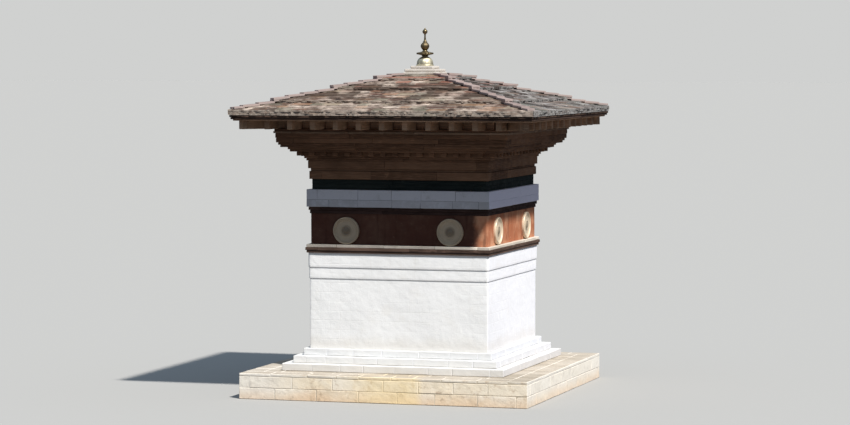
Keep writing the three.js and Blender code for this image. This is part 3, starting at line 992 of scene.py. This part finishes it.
class STUPA_OT_red_band(Step):
    """Plasters the red band"""

    bl_idname = "stupa.red_band"
    bl_label = "Red band"

    def execute(self, context):
        sizes, colours = self.pick(context)
        low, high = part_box("red_band")
        profile, wave = [(0.0, low.z), (0.0, high.z)], 0.5 * sizes.plaster_wave
        plastered_wall(
            sizes, "band_ochre", "red_band", high.x, profile, 0.018, wave,
            ochre_finish(colours),
        )
        return {"FINISHED"}


class STUPA_OT_ledges(Step):
    """Lays the dark ledge, the pale sill, the neck moulding and the grey stone course"""

    bl_idname = "stupa.ledges"
    bl_label = "Ledges and grey course"

    def execute(self, context):
        sizes, colours = self.pick(context)
        ledge = Stack(sizes, "ledge_boards", "ledge_course")
        middle = ledge.foot + LEDGE_LOWER
        ledge.boards(0.055, ledge.foot + LEDGE_BED, middle)
        ledge.boards(0.03, middle, flip=True)
        ledge.add(timber("ledge_timber"), "dark_timber")

        sill = Stack(sizes, "sill_stones", "band_sill")
        sill.bed(0.015, 0.01)
        sill.stones(0.34, 1.15, chamfer=0.8)
        finish = stone_finish(
            "dusty_sill", (0.74, 0.67, 0.58), (0.56, 0.50, 0.43), (0.42, 0.36, 0.29)
        )
        sill.add(finish, "pale_stone")

        neck = Stack(sizes, "neck_boards", "neck_moulding")
        neck.two_boards(0.03)
        neck.add(timber("neck_timber"), "dark_timber")

        grey = Stack(sizes, "grey_stones", "grey_slab")
        middle = grey.foot + GREY_LOWER
        grey.bed(0.004, 0.006)
        # Painted shade: the lower course takes the darker tones and the upper the lighter
        grey.stones(0.3, 0.8, head=middle, chamfer=0.5, joint=0.4, tones=(0, 0.3))
        grey.stones(0.3, 0.95, foot=middle, flip=True, chamfer=0.5, joint=0.4, tones=(0.6, 1.0))
        # Painted light: the grey course's side facing +X paler and bluer, as lit by the sky
        finish = stone_finish(
            "grey_cut_stone", colours.grey_light, colours.grey_dark, (0.36, 0.36, 0.37),
            right=(0.80, 0.80, 1.0),
        )
        grey.add(finish, "grey_stone")
        return {"FINISHED"}


class STUPA_OT_frieze(Step):
    """Fixes the boards of the frieze on its recessed foot"""

    bl_idname = "stupa.frieze"
    bl_label = "Frieze"

    def execute(self, context):
        sizes, colours = self.pick(context)
        foot = Stack(sizes, "frieze_foot_boards", "frieze_foot")
        foot.two_boards(0.0)
        # Painted shade: the recessed foot's boards nearly black
        foot.add(timber("foot_timber_painted_shade"), "dark_timber")

        frieze = Stack(sizes, "frieze_boards", "frieze")
        frieze.boards(0.03, head=FRIEZE_GROOVE[0], flip=True, usual=1.7)
        frieze.boards(0.06, *FRIEZE_GROOVE)
        frieze.boards(0.0, FRIEZE_GROOVE[1], usual=2.4)
        finish = timber("timber_boards", (colours.timber_light, colours.timber_dark))
        frieze.add(finish, "dark_timber")
        return {"FINISHED"}


class STUPA_OT_cornice(Step):
    """Fixes the corbelled cornice: boards that step out, a row of small blocks, and the top tier"""

    bl_idname = "stupa.cornice"
    bl_label = "Cornice"

    def execute(self, context):
        sizes, colours = self.pick(context)
        finish = timber("timber_boards", (colours.timber_light, colours.timber_dark))
        for number in (1, 3, 4):
            node = f"cornice_course_{number}"
            boards = Stack(sizes, f"cornice_boards_{number}", node, seeded(node))
            boards.two_boards(0.045, depth=0.4)
            boards.add(finish, "dark_timber")

        dentils = Stack(sizes, "dentil_blocks", "cornice_dentils")
        dentils.boards(DENTIL_REACH, depth=0.4)
        half, number = dentils.half, np.arange(DENTILS_A_SIDE)
        left = -half + (2 * half - DENTIL_WIDTH) / DENTILS_A_SIDE * number
        depth = np.where(number == 0, DENTIL_WIDTH, DENTIL_REACH + 0.03)
        low = corners(left, -half, dentils.foot + 0.012)
        high = corners(left + DENTIL_WIDTH, depth - half, dentils.head - 0.004)
        for quarter in range(4):
            dentils.blocks(low, high, 0.012, 0.002, quarter)
        dentils.add(finish, "dark_timber")

        tier = Stack(sizes, "top_tier_boards", "cornice_top_tier")
        tier.boards(0.055, head=TIER_JOINT, depth=0.5, flip=True)
        tier.boards(0.04, TIER_JOINT, TIER_STRIP[0], depth=0.5)
        tier.boards(0.02, TIER_STRIP[1], depth=0.5)
        tier.add(finish, "dark_timber")
        strip = Stack(sizes, "top_tier_strip", "cornice_top_tier", tier.rng)
        strip.boards(0.0, *TIER_STRIP, depth=0.5, flip=True)
        strip.add(timber("strip_timber"), "dark_timber")
        return {"FINISHED"}


class STUPA_OT_joists(Step):
    """Sets the joists of the four sides and the diagonal ones with their jacks at the corners"""

    bl_idname = "stupa.joists"
    bl_label = "Joists"

    def execute(self, context):
        sizes = context.scene.stupa_sizes
        low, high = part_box("joists_front")
        reach, inner, bottom, top = -low.y, -high.y, low.z, high.z
        side_half, half = (JOISTS_A_SIDE - 1) / 2, JOIST_WIDTH / 2
        for quarter, side in enumerate(SIDES):
            node = f"joists_{side}"
            bearer = Stack(sizes, f"joist_bearer_{side}", node, seeded(node))
            low = [-BEARER_HALF, -inner - BEARER_WIDTH, bottom]
            bearer.blocks(low, [BEARER_HALF, -inner, top - 0.03], 0.01, 0.0, quarter)
            # Painted light: the bearer lighter, to lift the shade between the joists
            bearer.add(timber("inner_timber_painted_light"), "dark_timber")
            joists = Stack(sizes, f"eave_joists_{side}", node, bearer.rng)
            middle = JOIST_PITCH * (np.arange(JOISTS_A_SIDE) - side_half)
            low = corners(middle - half, -reach, bottom)
            joists.blocks(low, corners(middle + half, -inner, top), 0.012, 0.003, quarter)
            joists.add(timber("joist_timber"), "dark_timber")

            corner = f"{side}_{SIDES[(quarter + 1) % 4]}"
            node = f"corner_joists_{corner}"
            rafters = Stack(sizes, f"corner_rafters_{corner}", node, seeded(node))
            for number in (1, 2):
                middle = JOIST_PITCH * (side_half + number)
                lows = [[middle - half, -reach, bottom], [middle, -middle - half, bottom]]
                highs = [[middle + half, -middle, top], [reach, -middle + half, top]]
                rafters.blocks(lows, highs, 0.012, 0.003, quarter)
            low, high = [-half, -RAFTER_END, bottom], [half, -RAFTER_START, top]
            rafters.blocks(low, high, 0.012, 0.002, quarter + 0.5)
            rafters.add(timber("joist_timber"), "dark_timber")
        return {"FINISHED"}


class STUPA_OT_eaves(Step):
    """Boards the soffit and the edge of the eaves, and finishes the solids that stay in sight"""

    bl_idname = "stupa.eaves"
    bl_label = "Eaves"

    def execute(self, context):
        sizes, colours = self.pick(context)
        soffit = Stack(sizes, "soffit_planks", "soffit_boards")
        for row in range(6):
            soffit.boards(0.2 * row, depth=0.196, flip=row % 2 == 1)
        # Painted light: the soffit planks lighter, to lift the shade under the eaves
        soffit.add(timber("inner_timber_painted_light"), "dark_timber")
        edge = Stack(sizes, "eave_planks", "eave_boards")
        edge.two_boards(0.022, usual=2.6)
        finish = timber("edge_boards", (colours.edge_light, colours.edge_dark))
        edge.add(finish, "dark_timber")

        # Painted light: the roof's core takes the same lightened timber
        in_sight = {"roof_core": timber("inner_timber_painted_light"), "roof_bed": split_slate(colours)}
        for node, material in in_sight.items():
            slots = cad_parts[node].data.materials
            slots.clear()
            slots.append(material)
        return {"FINISHED"}


class STUPA_OT_slates(Step):
    """Lays the slates of the four slopes, row by row from the eave"""

    bl_idname = "stupa.slates"
    bl_label = "Slates"

    def row_ends(self, rng, outer, usual):
        """Ends of the slates in a row: a wide one at each hip, random widths between them."""
        hip_width = 0.6 if outer > 1 else 0.54
        room = 2 * outer - 2 * hip_width
        count = max(1, round(room / usual))
        ends = np.concatenate([[0], np.cumsum(rng.uniform(0.65, 1.35, count))])
        ends = hip_width - outer + ends / ends[-1] * room
        return np.concatenate([[-outer], ends, [outer]])

    def execute(self, context):
        sizes, colours = self.pick(context)
        finish, half_gap = split_slate(colours), 0.002
        for quarter, side in enumerate(SIDES):
            node = f"slates_{side}"
            rng = seeded(node)
            rows, tones = [], []
            for outer, top, climb, butt in ROWS:
                layers = 1 if butt == BUTT_THIN else 3
                thick = butt / layers
                for layer in range(layers):
                    ends = self.row_ends(rng, outer, sizes.slate_width)
                    reach = min(NARROWING + SLATE_LAP, outer - TOP_SLATES_END)
                    depth = 0.3 if layer else reach
                    row = slates(
                        rng, sizes, ends[:-1] + half_gap, ends[1:] - half_gap,
                        outer - 0.004 * layer, top - layer * thick, climb, depth, thick,
                    )
                    rows.append(row)
                    tones.append(rng.uniform(0, 1, len(row)))
            tones = np.concatenate(tones)
            add_slates(f"slate_slope_{side}", node, rows, tones, quarter, finish)
        return {"FINISHED"}


class STUPA_OT_hips(Step):
    """Lays the pale slabs that cap the four hips"""

    bl_idname = "stupa.hips"
    bl_label = "Hip cappings"

    def execute(self, context):
        sizes, colours = self.pick(context)
        root = math.sqrt(2)
        # Painted light: the upright sides of the hip slabs lightened against their shade
        finish = stone_finish(
            "hip_stone", colours.hip_light, colours.hip_dark, (0.20, 0.155, 0.14),
            edge=(0.38, 0.31, 0.29),
        )
        inners = [row[0] * root for row in ROWS[1:]] + [HIP_END]
        for quarter, side in enumerate(SIDES):
            corner = f"{side}_{SIDES[(quarter + 1) % 4]}"
            node = f"hip_capping_{corner}"
            rng = seeded(node)
            rows = []
            for (outer, top, climb, butt), inner in zip(ROWS, inners):
                climb = climb / root
                start = min(outer * root + HIP_NOSE, HIP_FOOT)
                bed = top + climb * (outer * root - start)
                for layer in range(2 if butt == BUTT_THICK else 1):
                    half = np.array([rng.uniform(0.112, 0.128) - 0.006 * layer])
                    depth = 0.25 if layer else start - inner
                    row = slates(
                        rng, sizes, -half, half, start - 0.012 * layer,
                        bed + HIP_LIFT - 0.05 * layer, climb, depth, HIP_SLAB, cut=False,
                    )
                    rows.append(row)
            tones = rng.uniform(0, 1, len(rows))
            add_slates(
                f"hip_slabs_{corner}", node, rows, tones, quarter + 0.5, finish
            )
        return {"FINISHED"}


class STUPA_OT_apex(Step):
    """Sets the pale slab and the step on the roof's point"""

    bl_idname = "stupa.apex"
    bl_label = "Apex slab and step"

    def execute(self, context):
        sizes, colours = self.pick(context)
        finish = stone_finish(
            "sill_stone", colours.pale_light, colours.pale_dark, (0.32, 0.27, 0.21)
        )
        slab = Stack(sizes, "apex_slab_stone", "apex_slab", seeded("apex_slab"))
        step = Stack(sizes, "apex_step_stone", "apex_step", seeded("apex_step"))
        for stack, head in ((slab, slab.middle), (step, step.head)):
            half = stack.half
            stack.blocks([-half, -half, stack.foot], [half, half, head], 0.016, 0.006, tone=0.8)
        half = slab.half - 0.035
        slab.blocks(
            [-half, -half, slab.middle - 0.004], [half, half, slab.head], 0.018, 0.006, tone=0.6
        )
        slab.add(finish, "pale_stone")
        step.add(finish, "pale_stone")
        return {"FINISHED"}


class STUPA_OT_discs(Step):
    """Hangs the round gilt discs on the red band, two on each side"""

    bl_idname = "stupa.discs"
    bl_label = "Discs"

    profile = [
        (0.368, 0), (0.370, 0.045), (0.362, 0.064), (0.347, 0.070), (0.331, 0.064),
        (0.322, 0.052), (0.314, 0.050), (0.306, 0.056), (0.297, 0.056), (0.287, 0.044),
        (0.270, 0.040), (0.230, 0.036), (0.180, 0.036), (0.142, 0.040), (0.130, 0.048),
        (0.120, 0.052), (0.109, 0.048), (0.100, 0.042), (0.086, 0.046), (0.066, 0.058),
        (0.036, 0.068), (0.0, 0.071),
    ]
    petals = 16
    petal_rows = (0.0355, 0.0375)
    petal_depth = 0.012

    def execute(self, context):
        sizes, colours = self.pick(context)
        finish = gilt_finish(
            "disc_gilt", colours.disc_light, colours.disc_dull, 0.55, 0.12, colours.disc_painted_sunlit
        )
        cut = self.petals, self.petal_rows, self.petal_depth
        points, faces = turned_piece(self.profile, sizes.turned_segments, *cut)
        tone = np.linalg.norm(points[:, :2], axis=1) / DISC_RADIUS
        facing = points @ np.array([[1, 0, 0], [0, 0, 1], [0, -1, 0]])
        for quarter, side in enumerate(SIDES):
            for hand, letter in ((-1, "a"), (1, "b")):
                placed = turn(facing + np.array(DISC_PLACE) * [hand, 1, 1], quarter)
                disc = f"disc_{side}_{letter}"
                add_piece(f"gilt_{disc}", placed, faces, finish, disc, tone, 50)
        return {"FINISHED"}


class STUPA_OT_finial(Step):
    """Turns the finial: bell, ringed disc, knob, and spike with its ball"""

    bl_idname = "stupa.finial"
    bl_label = "Finial"

    petals = 12

    # Profile, heights of the ring of petals and its depth, from the foot of the bell
    turnings = {
        "bell": ([
            (0.236, 0), (0.248, 0.012), (0.248, 0.030), (0.236, 0.040), (0.225, 0.046),
            (0.230, 0.062), (0.228, 0.085), (0.221, 0.120), (0.206, 0.160), (0.178, 0.200),
            (0.140, 0.230), (0.104, 0.248), (0.088, 0.256), (0.088, 0.262), (0.070, 0.270),
        ], (0.060, 0.200), 0.006),
        "disc": ([
            (0.082, 0.270), (0.090, 0.284), (0.115, 0.298), (0.170, 0.312), (0.222, 0.322),
            (0.238, 0.333), (0.240, 0.345), (0.238, 0.357), (0.222, 0.368), (0.160, 0.380),
            (0.108, 0.392), (0.082, 0.405), (0.068, 0.420), (0.064, 0.430),
        ], (0.326, 0.364), 0.012),
        "knob": ([
            (0.054, 0.430), (0.070, 0.447), (0.098, 0.480), (0.117, 0.515), (0.122, 0.545),
            (0.117, 0.577), (0.098, 0.610), (0.070, 0.640), (0.056, 0.652), (0.060, 0.662),
            (0.058, 0.672), (0.046, 0.680), (0.043, 0.690),
        ], (0.470, 0.620), 0.005),
        "spike": ([
            (0.041, 0.690), (0.033, 0.712), (0.027, 0.745), (0.023, 0.800), (0.021, 0.850),
            (0.026, 0.862), (0.024, 0.872), (0.038, 0.885), (0.058, 0.908), (0.069, 0.932),
            (0.070, 0.950), (0.062, 0.978), (0.044, 0.998), (0.026, 1.010), (0.018, 1.024),
            (0.011, 1.044), (0.0, 1.055),
        ], (0, 0), 0.0),
    }

    def execute(self, context):
        sizes, colours = self.pick(context)
        pale = gilt_finish("bell_gilt", (0.66, 0.61, 0.45), (0.46, 0.42, 0.31), 0.3)
        dull = gilt_finish("finial_gilt", colours.gilt, colours.gilt_dull, 0.8)
        base = np.array([0, 0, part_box("finial_bell")[0].z])
        for name, (profile, *cut) in self.turnings.items():
            points, faces = turned_piece(profile, sizes.turned_segments, self.petals, *cut)
            finish, node = pale if name == "bell" else dull, f"finial_{name}"
            add_piece(f"gilt_{name}", points + base, faces, finish, node, smooth_angle=50)
        return {"FINISHED"}


class STUPA_OT_stage(Step):
    """Sets the pale floor, the soft light and the camera"""

    bl_idname = "stupa.stage"
    bl_label = "Stage"

    def add_floor(self, stage):
        """A flat square just below the object."""
        half = stage.floor_side / 2
        square = [(-half, -half, 0), (half, -half, 0), (half, half, 0), (-half, half, 0)]
        mesh = bpy.data.meshes.new("floor")
        mesh.from_pydata(square, [], [(0, 1, 2, 3)])
        material = bpy.data.materials.new("floor")
        material.use_nodes = True
        shader = material.node_tree.nodes["Principled BSDF"]
        shader.inputs["Base Color"].default_value = (*stage.floor_colour, 1)
        shader.inputs["Roughness"].default_value = 1.0
        shader.inputs["Specular IOR Level"].default_value = 0.0
        mesh.materials.append(material)
        floor = bpy.data.objects.new("floor", mesh)
        floor.location.z = -0.003
        floor.visible_diffuse = False
        floor.visible_glossy = False
        bpy.context.scene.collection.objects.link(floor)

    def add_surroundings(self, context, stage):
        """Soft light, brightest overhead, and a backdrop as bright as the lit floor.

        backdrop = floor colour * (key colour * key strength * sin(key's height) / pi
        + 0.75 * light from above)"""
        rise = Vector(stage.key_from).normalized().z
        key = stage.key_strength * rise / math.pi * np.array(stage.key_colour)
        backdrop = np.array(stage.floor_colour) * (key + 0.75 * np.array(stage.light_above))
        world = bpy.data.worlds.new("studio")
        context.scene.world = world
        world.use_nodes = True
        tree = world.node_tree
        place = add_node(tree, "ShaderNodeTexCoord").outputs["Generated"]
        up = add_node(tree, "ShaderNodeSeparateXYZ", {0: place}).outputs["Z"]
        up = add_node(tree, "ShaderNodeMapRange", {"Value": up, "From Min": -1}).outputs[0]
        dome = add_node(tree, "ShaderNodeValToRGB", {0: up})
        ramp = dome.color_ramp.elements
        ramp[0].color = (*stage.light_below, 1)
        ramp[1].color = (*stage.light_above, 1)
        ramp[1].position = 0.9
        for position in (0.42, 0.66):
            ramp.new(position).color = (*stage.light_level, 1)
        is_seen = add_node(tree, "ShaderNodeLightPath").outputs["Is Camera Ray"]
        inputs = {0: is_seen, 6: dome.outputs[0], 7: (*backdrop, 1)}
        light = add_node(tree, "ShaderNodeMix", inputs, data_type="RGBA").outputs[2]
        tree.links.new(light, tree.nodes["Background"].inputs["Color"])

    def add_key_light(self, stage):
        """One far lamp from the right and the front."""
        light = bpy.data.lights.new("key", "SUN")
        light.energy = stage.key_strength
        light.angle = stage.key_softness
        light.color = stage.key_colour
        key = bpy.data.objects.new("key", light)
        towards = Vector(stage.key_from)
        key.rotation_euler = towards.to_track_quat("Z", "Y").to_euler()
        key.location = 60 * towards
        bpy.context.scene.collection.objects.link(key)

    def add_camera(self, context, stage):
        """The camera, turned towards its target."""
        lens = bpy.data.cameras.new("camera")
        lens.lens = stage.camera_lens
        lens.clip_end = 3000
        camera = bpy.data.objects.new("camera", lens)
        camera.location = stage.camera_place
        towards = Vector(stage.camera_target) - Vector(stage.camera_place)
        camera.rotation_euler = towards.to_track_quat("-Z", "Y").to_euler()
        context.scene.collection.objects.link(camera)
        context.scene.camera = camera

    def execute(self, context):
        stage = context.scene.stupa_stage
        self.add_floor(stage)
        self.add_surroundings(context, stage)
        self.add_key_light(stage)
        self.add_camera(context, stage)
        context.scene.view_settings.view_transform = "Standard"
        return {"FINISHED"}


OPERATORS = (
    STUPA_OT_plinth, STUPA_OT_steps, STUPA_OT_white_wall, STUPA_OT_red_band, STUPA_OT_ledges,
    STUPA_OT_frieze, STUPA_OT_cornice, STUPA_OT_joists, STUPA_OT_eaves, STUPA_OT_slates,
    STUPA_OT_hips, STUPA_OT_apex, STUPA_OT_discs, STUPA_OT_finial, STUPA_OT_stage,
)


class STUPA_PT_looks(Panel):
    """Lists the steps that build the looks of the stupa."""

    bl_idname = "STUPA_PT_looks"
    bl_label = "Stupa"
    bl_space_type = "VIEW_3D"
    bl_region_type = "UI"
    bl_category = "Stupa"

    def draw(self, context):
        for operator in OPERATORS:
            self.layout.operator(operator.bl_idname)


CLASSES = (StupaSizes, StupaColours, StupaStage, *OPERATORS, STUPA_PT_looks)


def register():
    for each in CLASSES:
        bpy.utils.register_class(each)
    bpy.types.Scene.stupa_sizes = PointerProperty(type=StupaSizes)
    bpy.types.Scene.stupa_colours = PointerProperty(type=StupaColours)
    bpy.types.Scene.stupa_stage = PointerProperty(type=StupaStage)


def unregister():
    del bpy.types.Scene.stupa_sizes
    del bpy.types.Scene.stupa_colours
    del bpy.types.Scene.stupa_stage
    for each in reversed(CLASSES):
        bpy.utils.unregister_class(each)


def main():
    register()
    for operator in OPERATORS:
        group, name = operator.bl_idname.split(".")
        getattr(getattr(bpy.ops, group), name)()


if __name__ == "__main__":
    main()
